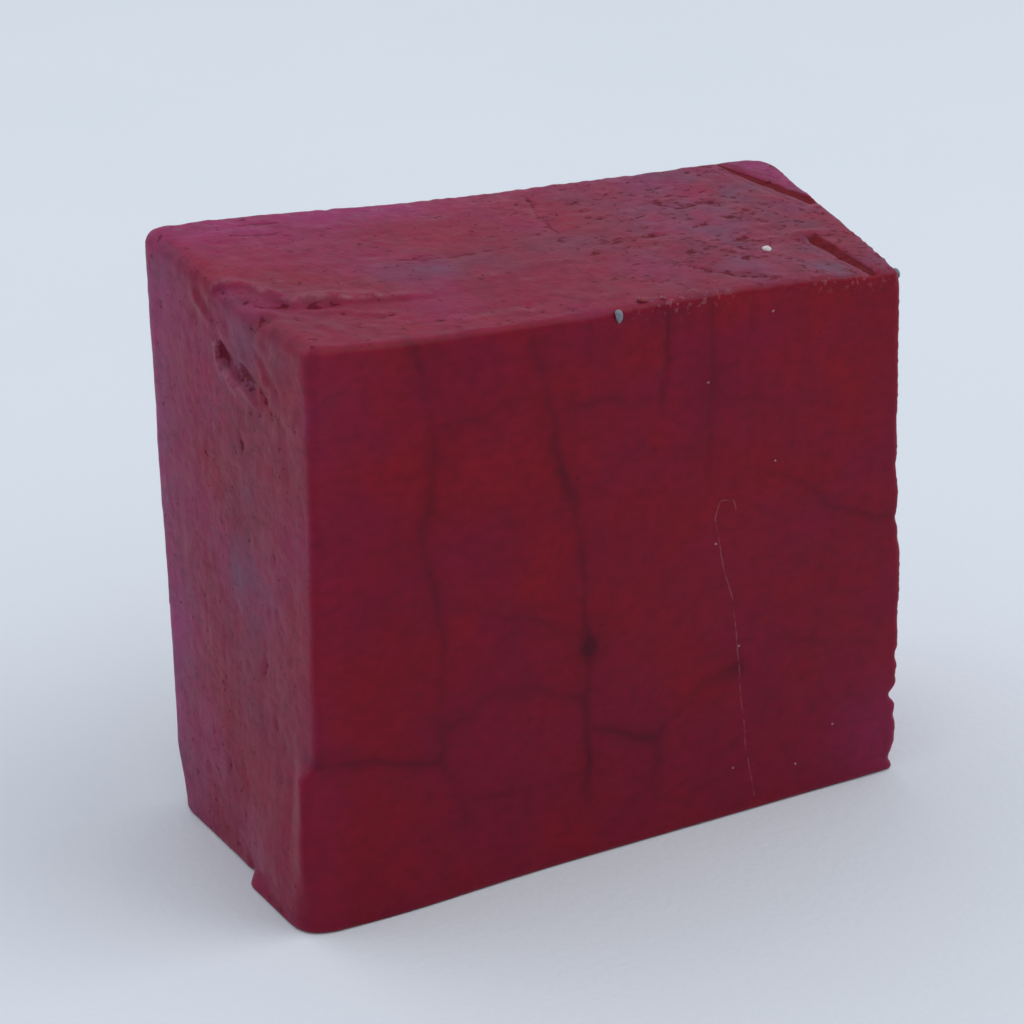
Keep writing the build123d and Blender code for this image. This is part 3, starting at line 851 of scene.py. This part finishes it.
white_stone = grain_finish("white_stone", (0.93, 0.90, 0.86), (0.62, 0.55, 0.54), 0.3,
                           Subsurface_Weight=0.3, Subsurface_Scale=0.0004)
grey_glass = grain_finish("grey_splinter", (0.33, 0.35, 0.40), (0.15, 0.15, 0.19), 0.35,
                          Transmission_Weight=0.25, IOR=1.5)
dark_stone = grain_finish("dark_stone", (0.03, 0.008, 0.012), (0.012, 0.004, 0.006), 0.3, IOR=1.4)
for node, slot, finish, seed, point in (
    ("white_grit", "white_grit", white_stone, 3, 0.2), ("clear_grit", "clear_grit", grey_glass, 5, 0.75),
    ("corner_grit", "clear_grit", grey_glass, 8, 0.0), ("buried_grit", "dark_grit", dark_stone, 13, 0.0),
):
    grain = broken_grain(node + "_grain", *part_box(node), seed, point=point)
    grain.data.materials.append(finish)
    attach(grain, "root")
    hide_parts(node)

# --- Crumbs and dust --------------------------------------------------------------------------
# Crumbs of the same clay, rolled up by rubbing and stuck to the top, most along its front edge,
# and specks of pale dust pressed into the front face and the left end.


def separate_boxes(node):
    """The box of each separate solid in a node, from its loose triangles."""
    loose = bmesh.new()
    loose.from_mesh(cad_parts[node].data)
    bmesh.ops.remove_doubles(loose, verts=loose.verts, dist=1e-7)
    left_over = set(loose.verts)
    boxes = []
    while left_over:
        found = [left_over.pop()]
        for vertex in found:
            beside = {edge.other_vert(vertex) for edge in vertex.link_edges} & left_over
            left_over -= beside
            found += beside
        low = [min(v.co[a] for v in found) for a in range(3)]
        high = [max(v.co[a] for v in found) for a in range(3)]
        boxes.append((low, high))
    loose.free()
    return sorted(boxes)


def strewn_pieces(node, name, seed, facets, fill):
    """One mesh with an irregular piece in place of each solid of a node, filling a share of its box."""
    whole = bmesh.new()
    for count, corners in enumerate(separate_boxes(node)):
        low, high = np.array(corners)
        trim = (1 - fill) / 2 * (high - low)
        low, high = low + trim, high - trim
        piece = broken_grain(name, low, high, seed + count, facets)
        whole.from_mesh(piece.data)
        bpy.data.meshes.remove(piece.data)
    mesh = bpy.data.meshes.new(name)
    whole.to_mesh(mesh)
    whole.free()
    pieces = bpy.data.objects.new(name, mesh)
    bpy.context.scene.collection.objects.link(pieces)
    return pieces


crumb_clay = grain_finish("crumb_clay", (0.28, 0.04, 0.06), (0.15, 0.010, 0.022), 0.6,
                          Subsurface_Weight=0.4, Subsurface_Scale=0.0006, IOR=1.3)
pale_dust = grain_finish("pale_dust", (0.36, 0.17, 0.19), (0.25, 0.09, 0.11), 0.2)
for node, name, slot, finish, seed, facets, fill in (
    ("clay_crumbs", "rolled_crumbs", "clay_crumb", crumb_clay, 30, 5, 0.95),
    ("dust_specks", "dust_grains", "dust", pale_dust, 60, 6, 0.7),
):
    pieces = strewn_pieces(node, name, seed, facets, fill)
    pieces.data.materials.append(finish)
    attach(pieces, "root")
    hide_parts(node)

# --- Table ------------------------------------------------------------------------------------
# A sheet of pale matt paper that the bar stands on, wide enough to fill the view. It is a little
# uneven in colour, and its fibres show as a very fine relief.
paper_half = 1.5
paper_tints = (0.80, 0.84, 0.90), (0.83, 0.86, 0.91)
sheet = bmesh.new()
bmesh.ops.create_grid(sheet, x_segments=8, y_segments=8, size=paper_half)
paper_mesh = bpy.data.meshes.new("paper")
sheet.to_mesh(paper_mesh)
sheet.free()
paper = bpy.data.objects.new("paper", paper_mesh)
bpy.context.scene.collection.objects.link(paper)
pale_paper = Finish("pale_paper", Roughness=0.75, IOR=1.35)
pale_paper.set("Base Color", pale_paper.mix(pale_paper.cloud(60, 3), *paper_tints))
pale_paper.bump(pale_paper.cloud(0.8, 4), 0.06)
paper_mesh.materials.append(pale_paper.material)

# --- Light ------------------------------------------------------------------------------------
# A bright pale room with a wide soft window high on the left behind the bar, and a soft ceiling
# light on the right in front of it.
room_colour = (0.87, 0.94, 1.0)
room_strength = 0.595
soft_boxes = {
    "window": {"place": (-0.35, 0.45, 0.75), "size": 0.9, "power": 1.8, "colour": (0.93, 0.96, 1.0)},
    "ceiling": {"place": (0.50, -0.35, 0.80), "size": 0.8, "power": 3.0, "colour": (0.97, 0.98, 1.0)},
}
bar_middle = Vector((0, 0, middle_height / 2 * MM))
world = bpy.data.worlds.new("pale_room")
world.use_nodes = True
room = world.node_tree.nodes["Background"]
room.inputs["Color"].default_value = (*room_colour, 1)
room.inputs["Strength"].default_value = room_strength
bpy.context.scene.world = world


def soft_light(name, place, size, power, colour):
    """A square soft box that faces the middle of the bar."""
    lamp = bpy.data.lights.new(name, "AREA")
    lamp.size = size
    lamp.energy = power
    lamp.color = colour
    light = bpy.data.objects.new(name, lamp)
    light.location = place
    light.rotation_euler = (bar_middle - Vector(place)).to_track_quat("-Z", "Y").to_euler()
    bpy.context.scene.collection.objects.link(light)


for name, box in soft_boxes.items():
    soft_light(name, **box)

# --- Camera -----------------------------------------------------------------------------------
# A long lens close by, looking down on the bar from the front and the left. Lens and sensor are
# in millimetres, the place in metres and the angles in degrees.
film_width = 36
lens = 105.47
camera_place = (-0.11457, -0.19877, 0.12221)
camera_turn, camera_dip, camera_roll = -29.4, 22.8, 0.18
camera_data = bpy.data.cameras.new("camera")
camera_data.sensor_width = film_width
camera_data.lens = lens
camera = bpy.data.objects.new("camera", camera_data)
camera.location = camera_place
camera.rotation_euler = (
    Matrix.Rotation(math.radians(camera_turn), 3, "Z")
    @ Matrix.Rotation(math.radians(90 - camera_dip), 3, "X")
    @ Matrix.Rotation(math.radians(camera_roll), 3, "Z")
).to_euler()
bpy.context.scene.collection.objects.link(camera)
bpy.context.scene.camera = camera
bpy.context.scene.view_settings.view_transform = "Standard"
